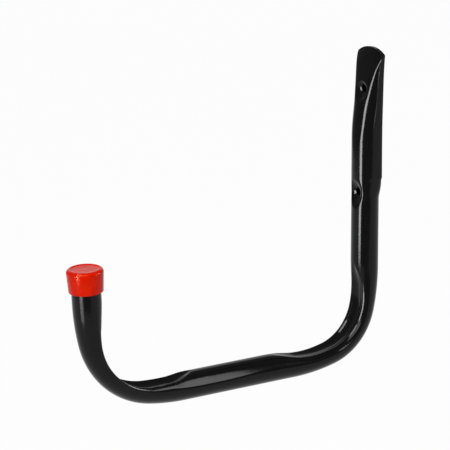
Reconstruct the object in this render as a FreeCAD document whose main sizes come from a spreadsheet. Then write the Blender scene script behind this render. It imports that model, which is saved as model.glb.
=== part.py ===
import FreeCAD, Part
import math
import os
import Sketcher

# Garage utility hook: one steel tube, flattened and pierced at its wall end, bent twice
# with the inside of each bend crushed into a trough, and a moulded cap on its tip.
# Frame: the wall is the plane y = 0, the hook reaches out along -Y, +Z is up.
# The origin lies on the wall, midway between the two screw holes. Millimetres and degrees.

doc = FreeCAD.newDocument("garage_utility_hook")
sheet = doc.addObject("Spreadsheet::Sheet", "sizes")

SIZES = [
    ("tube_dia", 20.0, "outside diameter of the round tube"),
    ("tube_wall", 1.2, "wall of the tube"),
    ("screw_pitch", 75.0, "distance between the two screw holes"),
    ("screw_hole", 5.5, "diameter of a screw hole"),
    ("dimple_dia", 12.5, "width of the pressed seat round a screw hole"),
    ("dimple_depth", 2.2, "depth of the pressed seat"),
    ("end_above_screw", 29.2, "upper screw to the crest of the flattened end"),
    ("end_rise", 4.8, "height of the rounded end's arc"),
    ("end_web", 1.5, "solid web left below the rounded end's corners"),
    ("flat_width", 29.0, "width of the flattened end"),
    ("flat_run", 86.0, "length over which the tube flattens"),
    ("back_lean", 1.5, "lean of the back tube towards the wall, degrees"),
    ("back_touch", 63.0, "lower screw down to where the round back meets the wall"),
    ("square_above_screw", 8.0, "lower screw up to the end of the squared back"),
    ("square_run", 4.0, "length over which the squared back runs out"),
    ("shoulder_round", 2.5, "softness of the flattened front's shoulders"),
    ("back_edge_round", 0.8, "softness of the flat back's edges in the bore"),
    ("crease_round", 1.2, "softness of the troughs' ridges"),
    ("arm_drop", 117.3, "lower screw down to the axis of the arm"),
    ("arm_rise", 2.5, "rise of the arm, degrees"),
    ("arm_run", 92.0, "straight length of the arm"),
    ("tip_lean", 1.2, "outward lean of the tip, degrees"),
    ("tip_run", 23.0, "straight length of the tip"),
    ("back_bend_radius", 37.5, "axis radius of the back bend"),
    ("back_ease_radius", 144.0, "axis radius leading in and out of the back bend"),
    ("back_ease_turn", 13.0, "turn of each lead, degrees"),
    ("front_bend_radius", 56.0, "axis radius of the front bend"),
    ("front_ease_radius", 150.0, "axis radius leading in and out of the front bend"),
    ("front_ease_turn", 10.5, "turn of each lead, degrees"),
    ("back_crush", 0.34, "share of the radius crushed inside the back bend"),
    ("front_crush", 0.60, "share of the radius crushed inside the front bend"),
    ("back_trough", 4.0, "depth of the trough in the back bend"),
    ("front_trough", 3.0, "depth of the trough in the front bend"),
    ("trough_radius", 9.0, "cross radius of the troughs"),
    ("back_crush_half", 69.0, "half length of the back bend's crush"),
    ("front_crush_half", 68.0, "half length of the front bend's crush"),
    ("back_crush_shift", 5.0, "back crush's middle past the middle of its bend"),
    ("front_crush_shift", 2.5, "front crush's middle past the middle of its bend"),
    ("bend_spread", 0.05, "share by which a crushed bend grows wider"),
    ("cap_height", 16.0, "overall height of the cap"),
    ("cap_roof", 2.5, "thickness of the cap's closed end"),
    ("cap_wall", 1.9, "wall of the cap at its mouth"),
    ("cap_flare", 0.9, "growth of the cap's radius from mouth to roof"),
    ("cap_rim_radius", 1.6, "rounding of the cap's upper rim"),
    ("cap_rim_width", 2.2, "width of the cap's upper rim"),
    ("cap_dish", 0.8, "depth of the dished roof"),
    ("cap_dish_slope", 2.4, "width of the slope from the rim to the dish's floor"),
]
for row, (alias, number, meaning) in enumerate(SIZES, start=1):
    sheet.set("A%d" % row, meaning)
    sheet.set("B%d" % row, str(number))
    sheet.setAlias("B%d" % row, alias)
doc.recompute()


def size(alias):
    return float(sheet.get(alias))


# The axis of the tube: straight runs and tangent arcs from the flattened end down,
# out along the arm and up to the tip. Headings are measured from straight down.

radius = size("tube_dia") / 2
wall = size("tube_wall")
lean = math.radians(size("back_lean"))
upper_screw_z = size("screw_pitch") / 2
lower_screw_z = -upper_screw_z
end_z = upper_screw_z + size("end_above_screw")
touch_z = lower_screw_z - size("back_touch")

arm_heading = math.radians(90 + size("arm_rise"))
tip_heading = math.radians(180 - size("tip_lean"))


def bend(start, stop, lead_radius, lead_turn, main_radius):
    """Arcs of one bend as (radius, heading before, heading after)."""
    lead = math.radians(lead_turn)
    return [
        (lead_radius, start, start + lead),
        (main_radius, start + lead, stop - lead),
        (lead_radius, stop - lead, stop),
    ]


back_bend = bend(
    lean, arm_heading,
    size("back_ease_radius"), size("back_ease_turn"), size("back_bend_radius"),
)
front_bend = bend(
    arm_heading, tip_heading,
    size("front_ease_radius"), size("front_ease_turn"), size("front_bend_radius"),
)


def bend_length(arcs):
    return sum(r * (after - before) for r, before, after in arcs)


back_bend_drop = sum(r * (math.sin(after) - math.sin(before)) for r, before, after in back_bend)
arm_z = lower_screw_z - size("arm_drop")
back_run = (end_z - arm_z - back_bend_drop) / math.cos(lean)

RUNS = (
    [(back_run, lean, lean)]
    + [(r * (after - before), before, after) for r, before, after in back_bend]
    + [(size("arm_run"), arm_heading, arm_heading)]
    + [(r * (after - before), before, after) for r, before, after in front_bend]
    + [(size("tip_run"), tip_heading, tip_heading)]
)
tube_length = sum(length for length, before, after in RUNS)
back_bend_middle = back_run + bend_length(back_bend) / 2
front_bend_middle = tube_length - size("tip_run") - bend_length(front_bend) / 2


def axis_at(station):
    """Distance from the wall, height and heading of the axis at a length from the top."""
    out = radius - (end_z - touch_z) * math.tan(lean)
    up = end_z
    left = station
    for length, before, after in RUNS:
        used = min(left, length)
        heading = before + (after - before) * used / length
        if after == before:
            out += used * math.sin(before)
            up -= used * math.cos(before)
        else:
            arc_radius = length / (after - before)
            out += arc_radius * (math.cos(before) - math.cos(heading))
            up -= arc_radius * (math.sin(heading) - math.sin(before))
        left -= used
        if left <= 0:
            break
    return out, up, heading


# The press rule: a round section squeezed by smooth tools. Section points are (x, n),
# where n points to the inside of the hook. "skin" is 0 outside and the wall in the bore.
# The skin is formed a little past the wall plane, and trimmed flat there afterwards.

SQUARENESS = 5.0
BACK_LEAD = 0.65
FRONT_LEAD = 0.85
BACK_TRIM = wall / 2
RIDGE_LIMIT = -0.2
DENSE = 360


def ramp(t):
    t = min(max(t, 0.0), 1.0)
    return t * t * (3 - 2 * t)


def softer_of(a, b, rounding):
    return (a + b - math.sqrt((a - b) ** 2 + rounding ** 2)) / 2


def crush_at(station, middle, half, lead):
    return ramp((half - abs(station - middle)) / (lead * half))


def flattening(out, up, heading):
    """Gap from axis to wall, and front-to-back depth, where the back tube is pressed."""
    if heading > arm_heading / 2:
        return radius, 2 * radius
    gap = min(out / math.cos(heading), radius)
    share = min((end_z - up) / size("flat_run"), 1.0)
    pressed = 2 * wall
    depth = pressed + (radius + gap - pressed) * share * (2 - share)
    return gap, depth


square_z = lower_screw_z + size("square_above_screw")
crushes = [
    (
        back_bend_middle + size("back_crush_shift"), size("back_crush_half"), BACK_LEAD,
        size("back_crush"), size("back_trough"),
    ),
    (
        front_bend_middle + size("front_crush_shift"), size("front_crush_half"), FRONT_LEAD,
        size("front_crush"), size("front_trough"),
    ),
]


def section(station, skin):
    """Outline of the tube, or of its bore, at a length from the top."""
    out, up, heading = axis_at(station)
    gap, depth = flattening(out, up, heading)
    squared = ramp((up - square_z) / size("square_run"))
    widened = (size("flat_width") / 2 - radius) * (2 * radius - depth) / (2 * radius - 2 * wall)
    half = radius + widened * squared - skin
    power = 2 / (2 + (SQUARENESS - 2) * squared)
    front = depth - gap - skin
    back = gap - skin if skin else gap + BACK_TRIM
    r = radius - skin
    shoulder = size("shoulder_round") * ramp((r - front) / wall)
    back_edge = size("back_edge_round") * ramp((r - back) / size("back_edge_round"))
    points = []
    for step in range(DENSE):
        angle = 2 * math.pi * step / DENSE
        across = math.sin(angle)
        inward = math.cos(angle)
        if inward >= 0:
            x = half * across
            n = r * inward
        else:
            x = half * math.copysign(abs(across) ** power, across)
            n = -r * abs(inward) ** power
        if front < r:
            n = softer_of(n, front, shoulder)
        if back < r:
            n = -softer_of(-n, back, back_edge)
        for middle, half_length, lead, crush, trough in crushes:
            share = crush_at(station, middle, half_length, lead)
            if inward > 0:
                n *= 1 - crush * share
            if inward > RIDGE_LIMIT and share > 0:
                floor = r * (1 - crush * share) - trough * share + x * x / (2 * size("trough_radius"))
                n = softer_of(n, floor, size("crease_round") * share)
            x *= 1 + size("bend_spread") * share
        points.append((x, n))
    return points, out, up, heading


# Each skin is a ruled loft over closed profiles of arcs. Profiles stand wide apart on
# straight runs, close together in the bends and closest where the squared back runs out.

WIDE_STEP = 0.75 * size("tube_dia")
CLOSE_STEP = 0.25 * size("tube_dia")
SHARP_STEP = size("square_run") / 2
CORNER_WEIGHT = 0.4 * radius
STRAIGHT = 0.002
SKIN_POINTS = 24


def spread_points(points, count):
    """Points along a closed outline, closer together where it turns."""
    total = len(points)
    lengths = [0.0]
    for k in range(total):
        before, here, after = points[k - 1], points[k], points[(k + 1) % total]
        arriving = math.atan2(here[1] - before[1], here[0] - before[0])
        leaving = math.atan2(after[1] - here[1], after[0] - here[0])
        turn = abs(math.remainder(leaving - arriving, 2 * math.pi))
        lengths.append(lengths[-1] + math.dist(here, after) + CORNER_WEIGHT * turn)
    result = []
    k = 0
    for step in range(count):
        target = lengths[-1] * step / count
        while lengths[k + 1] < target:
            k += 1
        share = (target - lengths[k]) / (lengths[k + 1] - lengths[k])
        here, after = points[k], points[(k + 1) % total]
        result.append(tuple(p + (q - p) * share for p, q in zip(here, after)))
    return result


def profile(name, station, skin):
    """A closed wire through points of the pressed section: arcs outside, flats in the bore."""
    outline, out, up, heading = section(station, skin)
    places = []
    for x, n in spread_points(outline, SKIN_POINTS):
        places.append(FreeCAD.Vector(x, -(out + n * math.cos(heading)), up + n * math.sin(heading)))
    places.append(places[0])
    edges = []
    for start, middle, stop in zip(places[0::2], places[1::2], places[2::2]):
        if skin:
            edges += [Part.LineSegment(start, middle).toShape(), Part.LineSegment(middle, stop).toShape()]
        elif middle.distanceToLine(start, stop - start) > STRAIGHT:
            edges.append(Part.Arc(start, middle, stop).toShape())
        else:
            edges.append(Part.LineSegment(start, stop).toShape())
    item = doc.addObject("Part::Feature", name)
    item.Shape = Part.Wire(edges)
    return item


def stations(start):
    """Lengths from the top, past a start, at which profiles stand."""
    square_stop = (end_z - square_z + size("square_run") / 2) / math.cos(lean)
    places = [0.0]
    while places[-1] < tube_length:
        here = places[-1]
        crushed = max(crush_at(here, middle, half, lead) for middle, half, lead, _, _ in crushes)
        step = WIDE_STEP + (CLOSE_STEP - WIDE_STEP) * crushed
        if here < square_stop:
            step = min(WIDE_STEP / 2, max(SHARP_STEP, (square_stop - here) / 3))
        elif here < square_stop + 2 * size("square_run"):
            step = SHARP_STEP
        places.append(here + step)
    return [start] + [place for place in places[1:-2] if place > start + SHARP_STEP] + [tube_length]


def pressed_tube(name, start, skin):
    loft = doc.addObject("Part::Loft", name)
    loft.Sections = [profile(name + "_profile", place, skin) for place in stations(start)]
    loft.Solid = True
    loft.Ruled = True
    return loft


outside = pressed_tube("outside", 0.0, 0.0)
bore = pressed_tube("bore", size("end_rise") + size("end_web"), wall)

# The pressed seats round the screw holes: a ball presses the front wall in, so the bore
# gives way by the same ball grown by the wall.


def front_of(height):
    """Distance of the pressed front face from the wall at a height on the back tube."""
    station = (end_z - height) / math.cos(lean)
    out, up, heading = axis_at(station)
    gap, depth = flattening(out, up, heading)
    return depth / math.cos(lean)


def cut(name, base, tools):
    joined = doc.addObject("Part::MultiFuse", name + "_tools")
    joined.Shapes = tools
    result = doc.addObject("Part::Cut", name)
    result.Base = base
    result.Tool = joined
    return result


BALL = "((sizes.dimple_dia / 2) ^ 2 + sizes.dimple_depth ^ 2) / (2 * sizes.dimple_depth)"
ball_radius = ((size("dimple_dia") / 2) ** 2 + size("dimple_depth") ** 2) / (2 * size("dimple_depth"))


def balls(name, grown):
    made = []
    for side, height in (("upper", upper_screw_z), ("lower", lower_screw_z)):
        ball = doc.addObject("Part::Sphere", "%s_%s" % (name, side))
        ball.setExpression("Radius", BALL + (" + sizes.tube_wall" if grown else ""))
        reach = front_of(height) - size("dimple_depth") + ball_radius
        ball.Placement.Base = FreeCAD.Vector(0, -reach, height)
        made.append(ball)
    return made


def screw_hole(side, sign):
    hole = doc.addObject("Part::Cylinder", "screw_hole_" + side)
    hole.setExpression("Radius", "sizes.screw_hole / 2")
    hole.setExpression("Height", "4 * sizes.tube_dia")
    hole.Placement.Rotation = FreeCAD.Rotation(FreeCAD.Vector(1, 0, 0), 90)
    hole.setExpression("Placement.Base.y", "2 * sizes.tube_dia")
    hole.setExpression("Placement.Base.z", "%s sizes.screw_pitch / 2" % sign)
    return hole


# The flattened end is cropped to an arc, and the back lies flat on the wall.

END_Z = "sizes.screw_pitch / 2 + sizes.end_above_screw"
crop_block = doc.addObject("Part::Box", "crop_block")
crop_block.setExpression("Length", "2 * sizes.flat_width")
crop_block.setExpression("Width", "4 * sizes.tube_dia")
crop_block.setExpression("Height", "4 * sizes.end_rise")
crop_block.setExpression("Placement.Base.x", "-sizes.flat_width")
crop_block.setExpression("Placement.Base.y", "-2 * sizes.tube_dia")
crop_block.setExpression("Placement.Base.z", END_Z + " - 2 * sizes.end_rise")
crop_arc = doc.addObject("Part::Cylinder", "crop_arc")
CROP_RADIUS = "((sizes.flat_width / 2) ^ 2 + sizes.end_rise ^ 2) / (2 * sizes.end_rise)"
crop_arc.setExpression("Radius", CROP_RADIUS)
crop_arc.setExpression("Height", "4 * sizes.tube_dia")
crop_arc.Placement.Rotation = FreeCAD.Rotation(FreeCAD.Vector(1, 0, 0), 90)
crop_arc.setExpression("Placement.Base.y", "2 * sizes.tube_dia")
crop_arc.setExpression("Placement.Base.z", END_Z + " - " + CROP_RADIUS)
crop = doc.addObject("Part::Cut", "crop")
crop.Base = crop_block
crop.Tool = crop_arc

WALL_REACH = "sizes.screw_pitch + sizes.end_above_screw + sizes.arm_drop"
wall_side = doc.addObject("Part::Box", "wall_side")
wall_side.setExpression("Length", "2 * sizes.flat_width")
wall_side.setExpression("Width", "sizes.tube_dia")
wall_side.setExpression("Height", "2 * (%s)" % WALL_REACH)
wall_side.setExpression("Placement.Base.x", "-sizes.flat_width")
wall_side.setExpression("Placement.Base.z", "-(%s)" % WALL_REACH)

holes = [screw_hole("upper", "+"), screw_hole("lower", "-")]
skin_solid = cut("skin_solid", outside, [wall_side, crop] + balls("seat", False))
bore_solid = cut("bore_solid", bore, balls("seat_inside", True))
tube = cut("hook_tube", skin_solid, [bore_solid] + holes)
doc.recompute()

# The cap: a moulded cup over the tip. Its axis is the tip's, its bore is the tube's
# outside, and the tube's end stands under its roof.

cap = doc.addObject("PartDesign::Body", "end_cap")
side_plane = next(f for f in cap.Origin.OriginFeatures if f.Role == "XZ_Plane")
cup = cap.newObject("Sketcher::SketchObject", "cup_section")
cup.AttachmentSupport = [(side_plane, "")]
cup.MapMode = "FlatFace"

mouth_z = size("cap_roof") - size("cap_height")
mouth_r = radius + size("cap_wall")
roof_r = mouth_r + size("cap_flare")
rim_r = roof_r - size("cap_rim_width")
floor_r = rim_r - size("cap_dish_slope")
floor_z = size("cap_roof") - size("cap_dish")
corners = [
    (radius, mouth_z), (radius, 0.0), (0.0, 0.0), (0.0, floor_z), (floor_r, floor_z),
    (rim_r, size("cap_roof")), (roof_r, size("cap_roof")), (mouth_r, mouth_z),
]
points = [FreeCAD.Vector(r, z, 0) for r, z in corners]
count = len(points)
for k in range(count):
    cup.addGeometry(Part.LineSegment(points[k], points[(k + 1) % count]), False)
for k in range(count):
    cup.addConstraint(Sketcher.Constraint("Coincident", k, 2, (k + 1) % count, 1))
BORE, ROOF, AXIS, FLOOR, SLOPE, TOP, SIDE, MOUTH = range(count)
START, END, ROOT = 1, 2, -1
cup.addConstraint(Sketcher.Constraint("Vertical", BORE))
cup.addConstraint(Sketcher.Constraint("Horizontal", ROOF))
cup.addConstraint(Sketcher.Constraint("Horizontal", FLOOR))
cup.addConstraint(Sketcher.Constraint("Horizontal", TOP))
cup.addConstraint(Sketcher.Constraint("Horizontal", MOUTH))
cup.addConstraint(Sketcher.Constraint("Coincident", ROOF, END, ROOT, 1))
cup.addConstraint(Sketcher.Constraint("PointOnObject", AXIS, END, -2))


def driven(kind, places, expression, number):
    """A named distance of the cup's section, bound to the sheet."""
    index = cup.addConstraint(Sketcher.Constraint(kind, *places, number))
    cup.setExpression("Constraints[%d]" % index, expression)


driven("DistanceX", (ROOT, 1, BORE, END), "sizes.tube_dia / 2", radius)
driven("DistanceY", (BORE, START, BORE, END), "sizes.cap_height - sizes.cap_roof", -mouth_z)
driven("DistanceY", (AXIS, START, AXIS, END), "sizes.cap_roof - sizes.cap_dish", floor_z)
driven("DistanceY", (SLOPE, START, SLOPE, END), "sizes.cap_dish", size("cap_dish"))
driven("DistanceX", (SLOPE, START, SLOPE, END), "sizes.cap_dish_slope", size("cap_dish_slope"))
driven("DistanceX", (TOP, START, TOP, END), "sizes.cap_rim_width", size("cap_rim_width"))
driven("DistanceX", (MOUTH, END, MOUTH, START), "sizes.cap_wall", size("cap_wall"))
driven("DistanceX", (SIDE, END, SIDE, START), "sizes.cap_flare", size("cap_flare"))
doc.recompute()

cup_solid = cap.newObject("PartDesign::Revolution", "cup")
cup_solid.Profile = cup
cup_solid.ReferenceAxis = (cup, ["V_Axis"])
cup_solid.Angle = 360
doc.recompute()


def ring_edges(feature, ring_r, ring_z):
    names = []
    for number, edge in enumerate(feature.Shape.Edges, start=1):
        box = edge.BoundBox
        if abs(box.XMax - ring_r) < 1e-3 and abs(box.ZMax - ring_z) < 1e-3 and box.ZLength < 1e-3:
            names.append("Edge%d" % number)
    return names


rim = cap.newObject("PartDesign::Fillet", "rim")
rim.Base = (cup_solid, ring_edges(cup_solid, roof_r, size("cap_roof")))
rim.setExpression("Radius", "sizes.cap_rim_radius")
doc.recompute()

cap.Tip = rim

tip_out, tip_up, tip_turn = axis_at(tube_length)
cap.Placement = FreeCAD.Placement(
    FreeCAD.Vector(0, -tip_out, tip_up),
    FreeCAD.Rotation(FreeCAD.Vector(1, 0, 0), size("tip_lean")),
)
doc.recompute()

# Every object is sound before anything is written.

SUB_PARTS = [tube, cap]
for item in doc.Objects:
    if "Invalid" in item.State or "Error" in item.State:
        raise RuntimeError("failed object: %s %s" % (item.Label, item.State))
for item in SUB_PARTS:
    if item.Shape.isNull() or not item.Shape.isValid():
        raise RuntimeError("unsound shape: " + item.Label)

os.makedirs("parts", exist_ok=True)
for item in SUB_PARTS:
    item.Shape.exportStep("parts/%s.step" % item.Label)
    print(item.Label, len(item.Shape.Solids), round(item.Shape.Volume), item.Shape.BoundBox)
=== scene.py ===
import math

import bmesh
import bpy
from mathutils import Matrix, Vector


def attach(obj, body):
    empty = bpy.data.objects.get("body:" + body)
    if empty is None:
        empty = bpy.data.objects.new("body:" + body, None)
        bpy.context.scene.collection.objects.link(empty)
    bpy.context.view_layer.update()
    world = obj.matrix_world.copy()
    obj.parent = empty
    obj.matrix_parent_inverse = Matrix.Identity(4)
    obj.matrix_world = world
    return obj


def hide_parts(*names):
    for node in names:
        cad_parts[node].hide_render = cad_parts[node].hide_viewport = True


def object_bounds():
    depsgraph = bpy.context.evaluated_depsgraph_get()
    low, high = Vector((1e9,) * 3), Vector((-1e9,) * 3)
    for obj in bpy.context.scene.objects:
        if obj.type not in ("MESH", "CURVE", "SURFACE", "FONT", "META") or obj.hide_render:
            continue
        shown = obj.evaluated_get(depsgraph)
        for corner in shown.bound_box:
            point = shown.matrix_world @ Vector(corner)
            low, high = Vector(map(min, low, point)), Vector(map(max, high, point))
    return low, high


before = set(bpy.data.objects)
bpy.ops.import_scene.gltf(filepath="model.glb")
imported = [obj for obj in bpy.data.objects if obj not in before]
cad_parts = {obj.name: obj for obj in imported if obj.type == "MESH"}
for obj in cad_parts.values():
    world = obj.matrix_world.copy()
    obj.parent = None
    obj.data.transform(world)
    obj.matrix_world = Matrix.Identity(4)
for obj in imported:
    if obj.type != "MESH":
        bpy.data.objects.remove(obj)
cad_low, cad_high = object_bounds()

# The hook tube: one length of round steel tube, pressed flat at its wall end, pierced twice,
# and bent twice so that the inside of each bend is crushed into a trough.
# It is dipped in gloss black enamel after forming. Sizes in millimetres, headings from straight down.

# The tube, its two screw holes and the dished seats around them.
MM = 0.001
RADIUS = 10.0
WALL = 1.2
HOLE_PITCH = 75.0
HOLE_RADIUS = 2.75
UPPER_SEAT_WIDTH = 14.0
UPPER_SEAT_DEPTH = 2.5
LOWER_SEAT_WIDTH = 19.0
LOWER_SEAT_DEPTH = 3.3
SEAT_LIP = 0.7
RIM_WIDTH = 1.5
RIM_DEPTH = 0.55

# The wall end: a top cropped to an arc and closed by a web, a front that flattens towards it
# between rounded shoulders, and a back squared from just above the lower hole upwards, with a
# short tail below.
END_Z = HOLE_PITCH / 2 + 29.2
END_RISE = 4.8
END_WEB = 1.5
END_FADE = 16.0
FLAT_WIDTH = 28.9
FLAT_RUN = 88.7
FLAT_POWER = 2.6
FRONT_WIDEN = 3.0
FRONT_NARROW = 0.9
SHOULDER = 10.2
SHOULDER_FADE = 3.3
SQUARE_Z = -HOLE_PITCH / 2 + 8.0
SQUARE_RUN = 2.5
SQUARE_STEP = 0.45
SQUARE_TAIL = 14.0
SQUARENESS = 5.0
BACK_EDGE = 0.8

# The path: an upright that leans out and leaves the wall below its touching point, two bends
# with wider arcs leading in and out, the arm between them, and the tip.
LEAN = math.radians(1.5)
TOUCH_Z = -HOLE_PITCH / 2 - 63.0
BACK_BEND_RADIUS = 37.5
BACK_LEAD_RADIUS = 144.0
BACK_LEAD_TURN = math.radians(13.0)
ARM_Z = -HOLE_PITCH / 2 - 117.3
ARM_HEADING = math.radians(92.5)
ARM_RUN = 92.0
FRONT_BEND_RADIUS = 56.0
FRONT_LEAD_RADIUS = 150.0
FRONT_LEAD_TURN = math.radians(10.5)
TIP_LEAN_DEGREES = 1.2
TIP_HEADING = math.radians(180 - TIP_LEAN_DEGREES)
TIP_RUN = 23.0

# The crushed bends: how soft the ridges are and how far the tube spreads there, up to where the
# cap grips it, and the arm's sides, pressed flat beside the front trough.
CREASE = 0.8
BEND_SPREAD = 0.05
TIP_GRIP = 13.5
FRONT_CRUSH_SHIFT = 11.7
SIDE_BEFORE_TROUGH = 88.0
SIDE_FLAT = 0.5
SIDE_EDGE = 0.4
SIDE_TILT = math.radians(24)
SIDE_CLEAR = 4 * RADIUS

# How fine the mesh is, and how close its points may come before they are welded.
POINTS_AROUND = 96
OUTSIDE_STEP = 0.9
BORE_STEP = 2.5
RING_WELD = 0.01
SLIVER_WELD = 0.05


def bend_runs(start, stop, main_radius, lead_radius, lead_turn):
    """Arcs of one bend, with a wider arc leading in and out, as (length, heading before, after)."""
    turns = [
        (lead_radius, start, start + lead_turn),
        (main_radius, start + lead_turn, stop - lead_turn),
        (lead_radius, stop - lead_turn, stop),
    ]
    return [(radius * (after - before), before, after) for radius, before, after in turns]


back_bend = bend_runs(LEAN, ARM_HEADING, BACK_BEND_RADIUS, BACK_LEAD_RADIUS, BACK_LEAD_TURN)
front_bend = bend_runs(ARM_HEADING, TIP_HEADING, FRONT_BEND_RADIUS, FRONT_LEAD_RADIUS, FRONT_LEAD_TURN)
back_bend_drop = sum(
    length / (after - before) * (math.sin(after) - math.sin(before))
    for length, before, after in back_bend
)
back_run = (END_Z - ARM_Z - back_bend_drop) / math.cos(LEAN)
back_bend_length = sum(length for length, before, after in back_bend)
front_bend_length = sum(length for length, before, after in front_bend)
tube_runs = (
    [(back_run, LEAN, LEAN)] + back_bend
    + [(ARM_RUN, ARM_HEADING, ARM_HEADING)] + front_bend
    + [(TIP_RUN, TIP_HEADING, TIP_HEADING)]
)
tube_length = sum(length for length, before, after in tube_runs)

# Each crushed bend: where its middle lies, the share of the radius that is crushed and the depth
# of the trough, each with its reach before and after the middle and the share of it that ramps,
# and the radius of the trough's floor.
crushes = {
    "back_bend": {
        "middle": back_run + back_bend_length / 2,
        "crush": 0.40, "crush_before": 58.0, "crush_after": 76.5, "crush_ramp": 0.63,
        "trough": 3.5, "trough_before": 58.6, "trough_after": 74.1, "trough_ramp": 0.35,
        "trough_radius": 8.9,
    },
    "front_bend": {
        "middle": tube_length - TIP_RUN - front_bend_length / 2 + FRONT_CRUSH_SHIFT,
        "crush": 0.85, "crush_before": 72.2, "crush_after": 51.7, "crush_ramp": 1.0,
        "trough": 6.4, "trough_before": 79.7, "trough_after": 37.8, "trough_ramp": 0.26,
        "trough_radius": 8.4,
    },
}
# Beside the front trough's end the arm's two sides are pressed a little flat.
side_press = {
    "middle": crushes["front_bend"]["middle"] - SIDE_BEFORE_TROUGH,
    "side_before": 52.0, "side_after": 40.0, "side_ramp": 0.9,
}


def axis_at(station):
    """Distance from the wall, height and heading of the tube's axis at a length from the top."""
    out = RADIUS - (END_Z - TOUCH_Z) * math.tan(LEAN)
    up = END_Z
    left = station
    for length, before, after in tube_runs:
        used = min(left, length)
        heading = before + (after - before) * used / length
        if after == before:
            out += used * math.sin(before)
            up -= used * math.cos(before)
        else:
            turn_radius = length / (after - before)
            out += turn_radius * (math.cos(before) - math.cos(heading))
            up -= turn_radius * (math.sin(heading) - math.sin(before))
        left -= used
        if left <= 0:
            break
    return out, up, heading


def ramp(t):
    """A smooth step from 0 to 1, level at both ends."""
    t = min(max(t, 0.0), 1.0)
    return t * t * (3 - 2 * t)


def bend_share(station, bend, what):
    """How far a crush, a trough or a side's flat has set in: 0 outside its reach, 1 in its middle."""
    along = station - bend["middle"]
    reach = bend[what + ("_before" if along < 0 else "_after")]
    return ramp((reach - abs(along)) / (bend[what + "_ramp"] * reach))


def flattening(out, up, heading):
    """Gap from axis to wall, front-to-back depth and share of roundness of the pressed back tube."""
    if heading > ARM_HEADING / 2:
        return RADIUS, 2 * RADIUS, 1.0
    gap = min(out / math.cos(heading), RADIUS)
    roundness = 1 - (1 - min((END_Z - up) / FLAT_RUN, 1.0)) ** FLAT_POWER
    return gap, 2 * WALL + (RADIUS + gap - 2 * WALL) * roundness, roundness


def front_of(height):
    """Distance of the pressed front face from the wall at a height on the back tube."""
    out, up, heading = axis_at((END_Z - height) / math.cos(LEAN))
    return flattening(out, up, heading)[1] / math.cos(LEAN)


def press_setting(station, skin, closing):
    """What the press does at one station: the sizes that the section's rule reads there.

    The skin is how deep inside the tube's outside a ring lies, and a closing of 1 shuts the end.
    """
    out, up, heading = axis_at(station)
    gap, depth, roundness = flattening(out, up, heading)
    squared = SQUARE_STEP * ramp((up - SQUARE_Z) / SQUARE_RUN)
    squared += (1 - SQUARE_STEP) * ramp((up - SQUARE_Z + SQUARE_TAIL) / SQUARE_TAIL)
    pressed = (2 * RADIUS - depth) / (2 * RADIUS - 2 * WALL)
    half = RADIUS + (FLAT_WIDTH / 2 - RADIUS) * pressed * squared - skin
    # The front is narrowed most where it is half round.
    narrowing = 4 * FRONT_NARROW * roundness * (1 - roundness)
    front_half = RADIUS + FRONT_WIDEN * pressed - narrowing - skin
    reach = RADIUS - skin
    front = depth - gap - skin
    back = gap - skin
    # Rounding the shoulders lowers the middle of the front, and the crown raises it as much.
    shoulder = SHOULDER * depth / (2 * RADIUS) * ramp((reach - front) / SHOULDER_FADE)
    crown = shoulder ** 2 / (4 * (reach - front)) if shoulder > 0 else 0.0
    setting = {
        "axis_out": out,
        "axis_up": up,
        "cos_heading": math.cos(heading),
        "sin_heading": math.sin(heading),
        "reach": reach,
        "half": half,
        "front_half": min(front_half, half),
        "seam": min(front_half, half) - WALL / 2,
        "power": 2 / (2 + (SQUARENESS - 2) * squared),
        "front": front + crown,
        "back": back,
        "shoulder": shoulder,
        "back_edge": BACK_EDGE * ramp((reach - back) / BACK_EDGE),
        "skin": skin,
        "seat_bar": tube_length if heading > ARM_HEADING / 2 else 0.0,
        "middle": (min(front, reach) - min(back, reach)) / 2,
        "closing": closing,
        "crop": max(1 - station / END_FADE, 0.0),
    }
    for name, bend in crushes.items():
        loss = bend["crush"] * bend_share(station, bend, "crush")
        sunk = bend_share(station, bend, "trough")
        spread = loss / bend["crush"]
        if name == "front_bend" and station > bend["middle"]:
            spread = ramp((tube_length - station) / TIP_GRIP)
        setting[name + "_loss"] = loss
        setting[name + "_floor"] = reach * (1 - loss) - bend["trough"] * sunk
        setting[name + "_crease"] = CREASE * sunk
        setting[name + "_spread"] = 1 + BEND_SPREAD * spread
    faced = bend_share(station, side_press, "side")
    side = reach * setting["front_bend_spread"] - SIDE_FLAT * faced
    setting["side_limit"] = side if faced > 0 else SIDE_CLEAR
    setting["side_edge"] = SIDE_EDGE * faced
    return setting


bore_start = END_RISE + END_WEB
outside_count = round(tube_length / OUTSIDE_STEP)
bore_count = round((tube_length - bore_start) / BORE_STEP)
rings = [press_setting(0.0, 0.0, 1.0)]
for k in range(outside_count + 1):
    rings.append(press_setting(tube_length * k / outside_count, 0.0, 0.0))
for k in range(bore_count + 1):
    station = tube_length + (bore_start - tube_length) * k / bore_count
    rings.append(press_setting(station, WALL, 0.0))
rings.append(press_setting(bore_start, WALL, 1.0))

# The tube is carried as a line of rings, outside first and back up the bore, and the
# tree below turns each ring into its pressed section.
line = bpy.data.meshes.new("tube_line")
line.from_pydata(
    [(0, 0, k * MM) for k in range(len(rings))],
    [(k, k + 1) for k in range(len(rings) - 1)],
    [],
)
for name in rings[0]:
    attribute = line.attributes.new(name, "FLOAT", "POINT")
    attribute.data.foreach_set("value", [ring[name] for ring in rings])


def add(tree, kind, links=(), **settings):
    """Adds a node with its settings; links maps its inputs, by name or place, to sockets or values."""
    node = tree.nodes.new(kind)
    for setting, value in settings.items():
        setattr(node, setting, value)
    for place, source in links.items() if isinstance(links, dict) else enumerate(links):
        if isinstance(source, bpy.types.NodeSocket):
            tree.links.new(source, node.inputs[place])
        else:
            node.inputs[place].default_value = source
    return node


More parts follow.
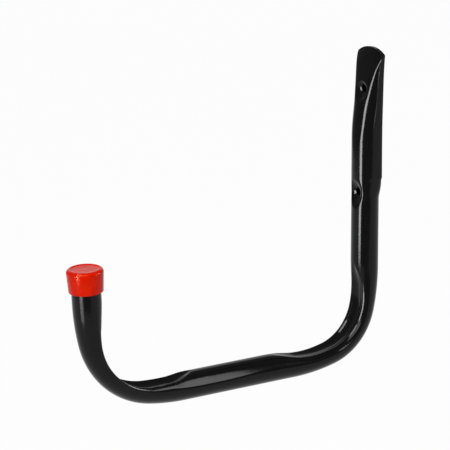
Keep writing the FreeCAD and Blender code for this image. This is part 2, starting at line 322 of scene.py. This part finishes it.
def linear(hex_colour):
    """An sRGB hex colour as linear red, green, blue and alpha."""
    parts = [int(hex_colour[k:k + 2], 16) / 255 for k in (1, 3, 5)]
    return [p / 12.92 if p <= 0.04045 else ((p + 0.055) / 1.055) ** 2.4 for p in parts] + [1.0]


def softer_of(name, one, other, rounding):
    """Steps for the lesser of two lengths, with a rounded change from one to the other."""
    return [
        (name + "_apart", "SUBTRACT", one, other),
        (name + "_soft", "MULTIPLY", rounding, rounding),
        (name + "_square", "MULTIPLY_ADD", name + "_apart", name + "_apart", name + "_soft"),
        (name + "_root", "SQRT", name + "_square"),
        (name + "_sum", "ADD", one, other),
        (name + "_twice", "SUBTRACT", name + "_sum", name + "_root"),
        (name, "MULTIPLY", name + "_twice", 0.5),
    ]


# The section's rule, as steps of (result, operation, what it reads). A point stands at x
# across and n towards the inside of the hook; it ends at a distance out from the wall and up.
section_rule = [
    ("angle", "MULTIPLY", "turn", -2 * math.pi),
    ("across", "SINE", "angle"),
    ("inward", "COSINE", "angle"),
    ("on_back", "LESS_THAN", "inward", 0.0),
    ("on_front", "SUBTRACT", 1.0, "on_back"),
    ("squarer", "SUBTRACT", "power", 1.0),
    ("bulge", "MULTIPLY_ADD", "on_back", "squarer", 1.0),
    ("across_side", "SIGN", "across"),
    ("across_size", "ABSOLUTE", "across"),
    ("across_bulged", "POWER", "across_size", "bulge"),
    ("across_signed", "MULTIPLY", "across_bulged", "across_side"),
    ("slack", "SUBTRACT", 1.0, "inward"),
    ("slack_kept", "MINIMUM", "slack", 1.0),
    ("slack_square", "MULTIPLY", "slack_kept", "slack_kept"),
    ("flare", "SUBTRACT", "half", "front_half"),
    ("width", "MULTIPLY_ADD", "flare", "slack_square", "front_half"),
    ("x_0", "MULTIPLY", "across_signed", "width"),
    ("inward_side", "SIGN", "inward"),
    ("inward_size", "ABSOLUTE", "inward"),
    ("inward_bulged", "POWER", "inward_size", "bulge"),
    ("inward_signed", "MULTIPLY", "inward_bulged", "inward_side"),
    ("n_round", "MULTIPLY", "inward_signed", "reach"),
]
section_rule += softer_of("n_front", "n_round", "front", "shoulder")
section_rule += [("n_outward", "MULTIPLY", "n_front", -1.0)]
section_rule += softer_of("n_back", "n_outward", "back", "back_edge")
section_rule += [("n_0", "MULTIPLY", "n_back", -1.0)]
for k, (bend, shape) in enumerate(crushes.items()):
    curve = 1 / (2 * shape["trough_radius"])
    section_rule += [
        ("loss_%d" % k, "MULTIPLY", bend + "_loss", "on_front"),
        ("kept_%d" % k, "SUBTRACT", 1.0, "loss_%d" % k),
        ("squeezed_%d" % k, "MULTIPLY", "n_%d" % k, "kept_%d" % k),
        ("x_square_%d" % k, "MULTIPLY", "x_%d" % k, "x_%d" % k),
        ("trough_%d" % k, "MULTIPLY_ADD", "x_square_%d" % k, curve, bend + "_floor"),
        ("x_%d" % (k + 1), "MULTIPLY", "x_%d" % k, bend + "_spread"),
    ]
    section_rule += softer_of("n_%d" % (k + 1), "squeezed_%d" % k, "trough_%d" % k, bend + "_crease")
x_crushed = "x_%d" % len(crushes)
n_crushed = "n_%d" % len(crushes)
section_rule += [
    ("x_size", "ABSOLUTE", x_crushed),
    ("x_side", "SIGN", x_crushed),
    ("sideways", "MULTIPLY", "x_size", math.cos(SIDE_TILT)),
    ("facing", "MULTIPLY_ADD", n_crushed, math.sin(SIDE_TILT), "sideways"),
]
section_rule += softer_of("faced", "facing", "side_limit", "side_edge")
section_rule += [
    ("shaved", "SUBTRACT", "faced", "facing"),
    ("x_shaved", "MULTIPLY_ADD", "shaved", math.cos(SIDE_TILT), "x_size"),
    ("x_sided", "MULTIPLY", "x_shaved", "x_side"),
    ("n_sided", "MULTIPLY_ADD", "shaved", math.sin(SIDE_TILT), n_crushed),
    ("x_end", "MULTIPLY", "seam", "across"),
    ("x_to_end", "SUBTRACT", "x_end", "x_sided"),
    ("x", "MULTIPLY_ADD", "x_to_end", "closing", "x_sided"),
    ("n_to_end", "SUBTRACT", "middle", "n_sided"),
    ("n", "MULTIPLY_ADD", "n_to_end", "closing", "n_sided"),
    ("out_0", "MULTIPLY_ADD", "n", "cos_heading", "axis_out"),
    ("up_whole", "MULTIPLY_ADD", "n", "sin_heading", "axis_up"),
    ("x_square", "MULTIPLY", "x", "x"),
]
# Each seat is the dent of a ball in the front face. Beyond the ball, and past the back tube, it
# is barred by a length that no point reaches. The y of its floor is kept for the punches.
seats = [
    (HOLE_PITCH / 2, UPPER_SEAT_WIDTH, UPPER_SEAT_DEPTH),
    (-HOLE_PITCH / 2, LOWER_SEAT_WIDTH, LOWER_SEAT_DEPTH),
]
seat_floors = []
for k, (height, width, depth) in enumerate(seats):
    ball = ((width / 2) ** 2 + depth ** 2) / (2 * depth)
    ball_out = front_of(height) - depth + ball
    seat_floors.append(depth - front_of(height))
    section_rule += [
        ("ball_%d" % k, "ADD", "skin", ball),
        ("ball_square_%d" % k, "MULTIPLY", "ball_%d" % k, "ball_%d" % k),
        ("rise_%d" % k, "SUBTRACT", "up_whole", height),
        ("off_%d" % k, "MULTIPLY_ADD", "rise_%d" % k, "rise_%d" % k, "x_square"),
        ("left_%d" % k, "SUBTRACT", "ball_square_%d" % k, "off_%d" % k),
        ("inside_%d" % k, "MAXIMUM", "left_%d" % k, 0.0),
        ("bow_%d" % k, "SQRT", "inside_%d" % k),
        ("bowl_%d" % k, "SUBTRACT", ball_out, "bow_%d" % k),
        ("beyond_%d" % k, "LESS_THAN", "left_%d" % k, 0.0),
        ("barred_%d" % k, "MULTIPLY_ADD", "beyond_%d" % k, tube_length, "seat_bar"),
        ("seat_%d" % k, "ADD", "bowl_%d" % k, "barred_%d" % k),
    ]
    section_rule += softer_of("out_%d" % (k + 1), "out_%d" % k, "seat_%d" % k, SEAT_LIP)
section_rule += [
    ("y", "MULTIPLY", "out_%d" % len(seats), -1.0),
    ("end_square", "MULTIPLY", "End arc radius", "End arc radius"),
    ("end_left", "SUBTRACT", "end_square", "x_square"),
    ("end_inside", "MAXIMUM", "end_left", 0.0),
    ("end_bow", "SQRT", "end_inside"),
    ("end_sag", "SUBTRACT", "End arc radius", "end_bow"),
    ("end_drop", "MULTIPLY", "end_sag", "crop"),
    ("z", "SUBTRACT", "up_whole", "end_drop"),
]

tube_inputs = {
    "Points around": POINTS_AROUND,
    "Hole radius": HOLE_RADIUS,
    "Hole pitch": HOLE_PITCH,
    "End arc radius": ((FLAT_WIDTH / 2) ** 2 + END_RISE ** 2) / (2 * END_RISE),
}
press = bpy.data.node_groups.new("pressed_tube", "GeometryNodeTree")
press.interface.new_socket("Line", in_out="INPUT", socket_type="NodeSocketGeometry")
press.interface.new_socket("Tube", in_out="OUTPUT", socket_type="NodeSocketGeometry")
input_ids = {}
for name, value in tube_inputs.items():
    kind = "NodeSocketInt" if isinstance(value, int) else "NodeSocketFloat"
    input_ids[name] = press.interface.new_socket(name, in_out="INPUT", socket_type=kind).identifier
given = add(press, "NodeGroupInput").outputs
known = {name: given[name] for name in tube_inputs}
for name in list(rings[0]) + ["turn"]:
    read = add(press, "GeometryNodeInputNamedAttribute", {"Name": name}, data_type="FLOAT")
    known[name] = read.outputs["Attribute"]
for result, operation, *reads in section_rule:
    links = [known[source] if isinstance(source, str) else source for source in reads]
    known[result] = add(press, "ShaderNodeMath", links, operation=operation).outputs[0]

circle = add(press, "GeometryNodeCurvePrimitiveCircle", {"Resolution": given["Points around"]})
around = add(press, "GeometryNodeSplineParameter")
turned = add(press, "GeometryNodeStoreNamedAttribute", {
    "Geometry": circle.outputs["Curve"], "Name": "turn", "Value": around.outputs["Factor"],
}, data_type="FLOAT", domain="POINT")
path = add(press, "GeometryNodeMeshToCurve", {"Mesh": given["Line"]})
swept = add(press, "GeometryNodeCurveToMesh", {
    "Curve": path.outputs["Curve"], "Profile Curve": turned.outputs["Geometry"],
})
place = add(press, "ShaderNodeCombineXYZ", [known["x"], known["y"], known["z"]])
metres = add(press, "ShaderNodeVectorMath", {
    "Vector": place.outputs[0], "Scale": MM,
}, operation="SCALE")
formed = add(press, "GeometryNodeSetPosition", {
    "Geometry": swept.outputs["Mesh"], "Position": metres.outputs["Vector"],
})
closed = add(press, "GeometryNodeMergeByDistance", {
    "Geometry": formed.outputs["Geometry"], "Distance": RING_WELD * MM,
})

# Two punches, one for each screw hole, go through both walls, and a taper on each leaves a
# bevelled rim at the bottom of the seat. The taper's nose stays inside the hole, and its wide
# end stands clear of the seat.
PUNCH_SIDES = 48
PUNCH_LENGTH = 8 * RADIUS
TAPER_LENGTH = 4 * RIM_DEPTH
TAPER_SINK = 3 * RIM_DEPTH
pitch = add(press, "ShaderNodeMath", [given["Hole pitch"], MM], operation="MULTIPLY").outputs[0]
low_hole = add(press, "ShaderNodeMath", [pitch, -0.5], operation="MULTIPLY").outputs[0]
first = add(press, "ShaderNodeCombineXYZ", {"Y": seat_floors[1] * MM, "Z": low_hole})
onward = add(press, "ShaderNodeCombineXYZ", {"Y": (seat_floors[0] - seat_floors[1]) * MM, "Z": pitch})
hole_places = add(press, "GeometryNodeMeshLine", {
    "Count": len(seats), "Start Location": first.outputs[0], "Offset": onward.outputs[0],
})
punch_radius = add(press, "ShaderNodeMath", [given["Hole radius"], MM], operation="MULTIPLY").outputs[0]
punch = add(press, "GeometryNodeMeshCylinder", {
    "Vertices": PUNCH_SIDES, "Radius": punch_radius, "Depth": PUNCH_LENGTH * MM,
})
rim_radius = add(press, "ShaderNodeMath", [punch_radius, RIM_WIDTH * MM], operation="ADD").outputs[0]
nose_radius = add(press, "ShaderNodeMath", [punch_radius, -RIM_WIDTH * MM], operation="ADD").outputs[0]
taper = add(press, "GeometryNodeMeshCone", {
    "Vertices": PUNCH_SIDES, "Depth": TAPER_LENGTH * MM,
    "Radius Bottom": nose_radius, "Radius Top": rim_radius,
})
sunk_taper = add(press, "GeometryNodeTransform", {
    "Geometry": taper.outputs["Mesh"], "Translation": (0, 0, -TAPER_SINK * MM),
})
pierced = closed.outputs["Geometry"]
for tool in (punch.outputs["Mesh"], sunk_taper.outputs["Geometry"]):
    placed = add(press, "GeometryNodeInstanceOnPoints", {
        "Points": hole_places.outputs["Mesh"], "Instance": tool, "Rotation": (math.pi / 2, 0, 0),
    })
    tool_meshes = add(press, "GeometryNodeRealizeInstances", {"Geometry": placed.outputs["Instances"]})
    cut = add(press, "GeometryNodeMeshBoolean", {
        "Mesh 1": pierced, "Mesh 2": tool_meshes.outputs["Geometry"],
    }, operation="DIFFERENCE", solver="EXACT")
    pierced = cut.outputs["Mesh"]
trimmed = add(press, "GeometryNodeMergeByDistance", {"Geometry": pierced, "Distance": SLIVER_WELD * MM})
whole = add(press, "GeometryNodeRealizeInstances", {"Geometry": trimmed.outputs["Geometry"]})

# Gloss black enamel, dipped and baked: deep black, with a hard mirror edge to each highlight,
# and a faint ripple some millimetres wide and a finer peel that make the reflections waver.
ENAMEL_BLACK = "#070708"
ENAMEL_DUSTY = "#0e0e10"
ENAMEL_SMOOTHEST = 0.09
ENAMEL_ROUGHEST = 0.15
ENAMEL_SPECULAR = 0.16
RIPPLE_MM = 7.0
RIPPLE_HEIGHT_MM = 0.25
RIPPLE_STRENGTH = 0.10
PEEL_MM = 1.1
PEEL_HEIGHT_MM = 0.05
PEEL_STRENGTH = 0.06
enamel = bpy.data.materials.new("gloss_black_enamel_dipped")
enamel.use_nodes = True
coat = enamel.node_tree
coat.nodes.clear()
coat_place = add(coat, "ShaderNodeTexCoord").outputs["Object"]
ripple = add(coat, "ShaderNodeTexNoise", {
    "Vector": coat_place, "Scale": 1 / (RIPPLE_MM * MM), "Detail": 1.0,
})
peel = add(coat, "ShaderNodeTexNoise", {
    "Vector": coat_place, "Scale": 1 / (PEEL_MM * MM), "Detail": 2.0,
})
shade = add(coat, "ShaderNodeMix", {
    "Factor": ripple.outputs["Fac"], "A": linear(ENAMEL_BLACK), "B": linear(ENAMEL_DUSTY),
}, data_type="RGBA")
gloss = add(coat, "ShaderNodeMapRange", {
    "Value": peel.outputs["Fac"], "To Min": ENAMEL_SMOOTHEST, "To Max": ENAMEL_ROUGHEST,
})
ripple_bump = add(coat, "ShaderNodeBump", {
    "Height": ripple.outputs["Fac"], "Strength": RIPPLE_STRENGTH, "Distance": RIPPLE_HEIGHT_MM * MM,
})
peel_bump = add(coat, "ShaderNodeBump", {
    "Height": peel.outputs["Fac"], "Strength": PEEL_STRENGTH, "Distance": PEEL_HEIGHT_MM * MM,
    "Normal": ripple_bump.outputs["Normal"],
})
enamel_shader = add(coat, "ShaderNodeBsdfPrincipled", {
    "Base Color": shade.outputs["Result"], "Roughness": gloss.outputs["Result"],
    "Specular IOR Level": ENAMEL_SPECULAR, "Normal": peel_bump.outputs["Normal"],
})
add(coat, "ShaderNodeOutputMaterial", {"Surface": enamel_shader.outputs["BSDF"]})

coated = add(press, "GeometryNodeSetMaterial", {
    "Geometry": whole.outputs["Geometry"], "Material": enamel,
})
add(press, "NodeGroupOutput", {"Tube": coated.outputs["Geometry"]})

SHARP_ANGLE = math.radians(38)


def plain_mesh(piece):
    """Turns a piece's evaluated shape into its own plain mesh, with faces pointing outwards."""
    graph = bpy.context.evaluated_depsgraph_get()
    shape = bpy.data.meshes.new_from_object(piece.evaluated_get(graph))
    piece.modifiers.clear()
    work = bmesh.new()
    work.from_mesh(shape)
    bmesh.ops.recalc_face_normals(work, faces=work.faces)
    work.to_mesh(shape)
    work.free()
    for attribute in list(shape.attributes):
        if attribute.name in rings[0] or attribute.name == "turn":
            shape.attributes.remove(attribute)
    shape.shade_smooth()
    shape.set_sharp_from_angle(angle=SHARP_ANGLE)
    piece.data = shape


hook_tube = bpy.data.objects.new("pressed_hook_tube", line)
bpy.context.scene.collection.objects.link(hook_tube)
modifier = hook_tube.modifiers.new("press", "NODES")
modifier.node_group = press
for name, value in tube_inputs.items():
    modifier[input_ids[name]] = value
plain_mesh(hook_tube)
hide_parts("hook_tube")
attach(hook_tube, "root")

# The end cap: a cup of soft red vinyl, moulded in one piece and pushed over the tube's tip.
# It widens a little towards its roof, which is dished inside a rounded rim.

CAP_HEIGHT = 16.0
CAP_ROOF = 2.5
CAP_WALL = 1.9
CAP_FLARE = 0.9
CAP_RIM = 2.4
CAP_RIM_INNER = 1.0
CAP_DISH = 0.8
DISH_CURL = 0.35
DISH_POWER = 3
CAP_LIP = 0.5
CAP_WELD = 0.005
CAP_SIDES = 128
DISH_STEPS = 10
RIM_STEPS = 8
LIP_STEPS = 4

mouth_z = CAP_ROOF - CAP_HEIGHT
lip_z = mouth_z + CAP_LIP
mouth_radius = RADIUS + CAP_WALL
roof_radius = mouth_radius + CAP_FLARE * (1 - CAP_RIM / CAP_HEIGHT)
side_turn = math.atan2(CAP_FLARE, CAP_HEIGHT)


def arc(centre_r, centre_z, radius, start, stop, steps):
    """Points of an arc in the cap's section, angles from straight out, towards up."""
    angles = [start + (stop - start) * k / steps for k in range(steps + 1)]
    return [(centre_r + radius * math.cos(a), centre_z + radius * math.sin(a)) for a in angles]


rim_centre_r = roof_radius - CAP_RIM
rim_centre_z = CAP_ROOF - CAP_RIM
dish_edge = rim_centre_r - CAP_RIM_INNER
cap_section = [(RADIUS, lip_z), (RADIUS, 0.0), (0.0, 0.0)]
for k in range(DISH_STEPS + 1):
    share = k / DISH_STEPS
    dish_z = CAP_ROOF - CAP_DISH + DISH_CURL * CAP_DISH * share ** DISH_POWER
    cap_section.append((dish_edge * share, dish_z))
for k in range(1, RIM_STEPS):
    share = k / RIM_STEPS
    rise_z = dish_z + (CAP_ROOF - dish_z) * ramp(share)
    cap_section.append((dish_edge + CAP_RIM_INNER * share, rise_z))
cap_section += arc(rim_centre_r, rim_centre_z, CAP_RIM, math.pi / 2, -side_turn, RIM_STEPS)
cap_section += arc(mouth_radius - CAP_LIP, lip_z, CAP_LIP, -side_turn, -math.pi / 2, LIP_STEPS)
cap_section += arc(RADIUS + CAP_LIP, lip_z, CAP_LIP, -math.pi / 2, -math.pi, LIP_STEPS)

work = bmesh.new()
ends = [work.verts.new((r * MM, 0.0, z * MM)) for r, z in cap_section]
edges = [work.edges.new((ends[k], ends[k + 1])) for k in range(len(ends) - 1)]
bmesh.ops.spin(
    work, geom=ends + edges, cent=(0, 0, 0), axis=(0, 0, 1), dvec=(0, 0, 0),
    angle=2 * math.pi, steps=CAP_SIDES, use_merge=True,
)
bmesh.ops.remove_doubles(work, verts=work.verts, dist=CAP_WELD * MM)
bmesh.ops.recalc_face_normals(work, faces=work.faces)
tip_out, tip_up = axis_at(tube_length)[:2]
cap_lean = Matrix.Rotation(math.radians(TIP_LEAN_DEGREES), 4, "X")
cap_place = Matrix.Translation((0, -tip_out * MM, tip_up * MM)) @ cap_lean
bmesh.ops.transform(work, matrix=cap_place, verts=work.verts)
cap_mesh = bpy.data.meshes.new("vinyl_end_cap")
work.to_mesh(cap_mesh)
work.free()
cap_mesh.shade_smooth()
cap_mesh.set_sharp_from_angle(angle=SHARP_ANGLE)
end_cap = bpy.data.objects.new("vinyl_end_cap", cap_mesh)
bpy.context.scene.collection.objects.link(end_cap)

# Soft vinyl, slush moulded: a strong orange red with a clear shine whose glints take some of
# its colour, broken up by shallow dents and pits a few millimetres wide.
VINYL_RED = "#e42000"
VINYL_DEEP = "#cc1200"
VINYL_GLINT = "#ffb48c"
VINYL_SMOOTHEST = 0.10
VINYL_ROUGHEST = 0.22
VINYL_SPECULAR = 0.16
DENT_MM = 5.0
DENT_DEPTH_MM = 0.5
DENT_STRENGTH = 0.4
PIT_MM = 1.6
PIT_DEPTH_MM = 0.1
PIT_STRENGTH = 0.15
vinyl = bpy.data.materials.new("red_vinyl_slush_moulded")
vinyl.use_nodes = True
skin = vinyl.node_tree
skin.nodes.clear()
skin_place = add(skin, "ShaderNodeTexCoord").outputs["Object"]
dents = add(skin, "ShaderNodeTexNoise", {
    "Vector": skin_place, "Scale": 1 / (DENT_MM * MM), "Detail": 1.0,
})
pits = add(skin, "ShaderNodeTexNoise", {
    "Vector": skin_place, "Scale": 1 / (PIT_MM * MM), "Detail": 2.0,
})
redness = add(skin, "ShaderNodeMix", {
    "Factor": dents.outputs["Fac"], "A": linear(VINYL_RED), "B": linear(VINYL_DEEP),
}, data_type="RGBA")
shine = add(skin, "ShaderNodeMapRange", {
    "Value": pits.outputs["Fac"], "To Min": VINYL_SMOOTHEST, "To Max": VINYL_ROUGHEST,
})
dent_bump = add(skin, "ShaderNodeBump", {
    "Height": dents.outputs["Fac"], "Strength": DENT_STRENGTH, "Distance": DENT_DEPTH_MM * MM,
})
pit_bump = add(skin, "ShaderNodeBump", {
    "Height": pits.outputs["Fac"], "Strength": PIT_STRENGTH, "Distance": PIT_DEPTH_MM * MM,
    "Normal": dent_bump.outputs["Normal"],
})
vinyl_shader = add(skin, "ShaderNodeBsdfPrincipled", {
    "Base Color": redness.outputs["Result"], "Roughness": shine.outputs["Result"],
    "Specular IOR Level": VINYL_SPECULAR, "Specular Tint": linear(VINYL_GLINT),
    "Normal": pit_bump.outputs["Normal"],
})
add(skin, "ShaderNodeOutputMaterial", {"Surface": vinyl_shader.outputs["BSDF"]})
cap_mesh.materials.append(vinyl)
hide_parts("end_cap")
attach(end_cap, "root")

# The floor: a plain white paper sweep some way below the hook, turned up into a backdrop well
# behind it. It is white to the eye and in reflections, and a share of it is left to the lamps,
# so that a shadow shows on it.

FLOOR_DROP = 400.0
# The sweep's own sizes are in metres.
SWEEP_FRONT = 1.4
SWEEP_BACK = 4.2
SWEEP_SIDE = 2.5
SWEEP_HEIGHT = 3.5
SWEEP_BEARING = math.radians(57.0)
FLOOR_WHITE = "#f4f4f4"
SHADOW_SHARE = 0.03
floor_z = cad_low[2] - FLOOR_DROP * MM
away = Vector((-math.sin(SWEEP_BEARING), math.cos(SWEEP_BEARING), 0))
aside = Vector((math.cos(SWEEP_BEARING), math.sin(SWEEP_BEARING), 0))
sweep_rows = [(-SWEEP_FRONT, floor_z), (SWEEP_BACK, floor_z), (SWEEP_BACK, floor_z + SWEEP_HEIGHT)]
sweep_points = []
for back, height in sweep_rows:
    for side in (-SWEEP_SIDE, SWEEP_SIDE):
        sweep_points.append(back * away + side * aside + Vector((0, 0, height)))
floor_mesh = bpy.data.meshes.new("floor")
floor_mesh.from_pydata(sweep_points, [], [(0, 1, 3, 2), (2, 3, 5, 4)])
floor = bpy.data.objects.new("floor", floor_mesh)
bpy.context.scene.collection.objects.link(floor)
sheet = bpy.data.materials.new("white_paper_sheet")
sheet.use_nodes = True
paper = sheet.node_tree
paper.nodes.clear()
seen = add(paper, "ShaderNodeLightPath").outputs
mirrored = add(paper, "ShaderNodeMath", [
    seen["Is Glossy Ray"], seen["Is Transmission Ray"],
], operation="MAXIMUM")
looked_at = add(paper, "ShaderNodeMath", [
    seen["Is Camera Ray"], mirrored.outputs[0],
], operation="MAXIMUM")
lit = add(paper, "ShaderNodeBsdfDiffuse", {"Color": linear(FLOOR_WHITE)})
white = add(paper, "ShaderNodeEmission", {"Strength": 1.0})
shown_share = add(paper, "ShaderNodeMath", [
    looked_at.outputs[0], 1 - SHADOW_SHARE,
], operation="MULTIPLY")
surface = add(paper, "ShaderNodeMixShader", [shown_share.outputs[0], lit.outputs[0], white.outputs[0]])
add(paper, "ShaderNodeOutputMaterial", {"Surface": surface.outputs[0]})
floor_mesh.materials.append(sheet)

# The light: a plain room, one large soft key box for the colours, and strips and panes that
# show only as reflections and draw the tube's ridges, as a studio's strip boxes do.

ROOM_WHITE = "#ffffff"
ROOM_LEVEL = 0.25
scene = bpy.context.scene
scene.view_settings.view_transform = "Standard"
room = bpy.data.worlds.new("plain_room")
scene.world = room
room.use_nodes = True
air = room.node_tree
air.nodes.clear()
sky = add(air, "ShaderNodeBackground", {"Color": linear(ROOM_WHITE), "Strength": ROOM_LEVEL})
add(air, "ShaderNodeOutputWorld", {"Surface": sky.outputs[0]})


def direction(bearing, rise):
    """The way from the hook at a bearing to the right of straight ahead of it, and at a rise."""
    return Vector((
        math.sin(bearing) * math.cos(rise),
        -math.cos(bearing) * math.cos(rise),
        math.sin(rise),
    ))


# What the boxes face, in metres.
hook_middle = Vector((0, -0.12, -0.06))
upright_foot = Vector((0, -0.05, -0.12))
arm_side = Vector((0, -0.152, -0.147))
front_ridge = Vector((0, -0.21, -0.135))

# Each box: name, what it faces, bearing and rise in degrees, distance, width and height in
# metres, brightness against white, and whether it lights colours.
soft_boxes = [
    ("key_box", hook_middle, 40, 42, 2.00, 1.50, 1.50, 5.2, True),
    ("front_strip", hook_middle, 12, 5, 0.90, 0.30, 0.74, 28.0, False),
    ("low_strip", hook_middle, 12, -21, 0.90, 0.30, 0.08, 6.0, False),
    ("upper_strip", upright_foot, 5, 52, 0.90, 0.24, 0.45, 19.0, False),
    ("arm_pane", arm_side, 122, 21, 0.40, 0.06, 0.14, 8.0, False),
    ("ridge_pane", front_ridge, 152, 15, 1.20, 0.60, 0.26, 22.0, False),
]
for name, aim, bearing, rise, distance, width, height, brightness, lights_colours in soft_boxes:
    lamp = bpy.data.lights.new(name, "AREA")
    lamp.shape = "RECTANGLE"
    lamp.size = width
    lamp.size_y = height
    lamp.energy = math.pi * brightness * width * height
    toward_box = direction(math.radians(bearing), math.radians(rise))
    box = bpy.data.objects.new(name, lamp)
    box.location = aim + distance * toward_box
    box.rotation_euler = (-toward_box).to_track_quat("-Z", "Y").to_euler()
    box.visible_diffuse = lights_colours
    scene.collection.objects.link(box)

# The camera: a long lens to the right of the hook and a little above it, rolled slightly.
# Its place and its focal length, in pixels of the square picture, are fitted to the hook's
# outline. Its distance from what it aims at is in metres.

CAMERA_AZIMUTH = math.radians(57.096)
CAMERA_RISE = math.radians(16.227)
CAMERA_ROLL = math.radians(-1.67)
CAMERA_AWAY = 1.5
CAMERA_AIM = Vector((0, -129.187, -41.587)) * MM
SENSOR_MM = 36.0
FOCAL_PIXELS = 2173.038
PICTURE_PIXELS = 450
backward = direction(CAMERA_AZIMUTH, CAMERA_RISE)
level_right = Vector((math.cos(CAMERA_AZIMUTH), math.sin(CAMERA_AZIMUTH), 0))
level_up = backward.cross(level_right)
right = math.cos(CAMERA_ROLL) * level_right + math.sin(CAMERA_ROLL) * level_up
upward = -math.sin(CAMERA_ROLL) * level_right + math.cos(CAMERA_ROLL) * level_up
lens = bpy.data.cameras.new("camera")
lens.sensor_fit = "HORIZONTAL"
lens.sensor_width = SENSOR_MM
lens.lens = FOCAL_PIXELS * SENSOR_MM / PICTURE_PIXELS
camera = bpy.data.objects.new("camera", lens)
turn = Matrix((right, upward, backward)).transposed().to_4x4()
camera.matrix_world = Matrix.Translation(CAMERA_AIM + CAMERA_AWAY * backward) @ turn
scene.collection.objects.link(camera)
scene.camera = camera
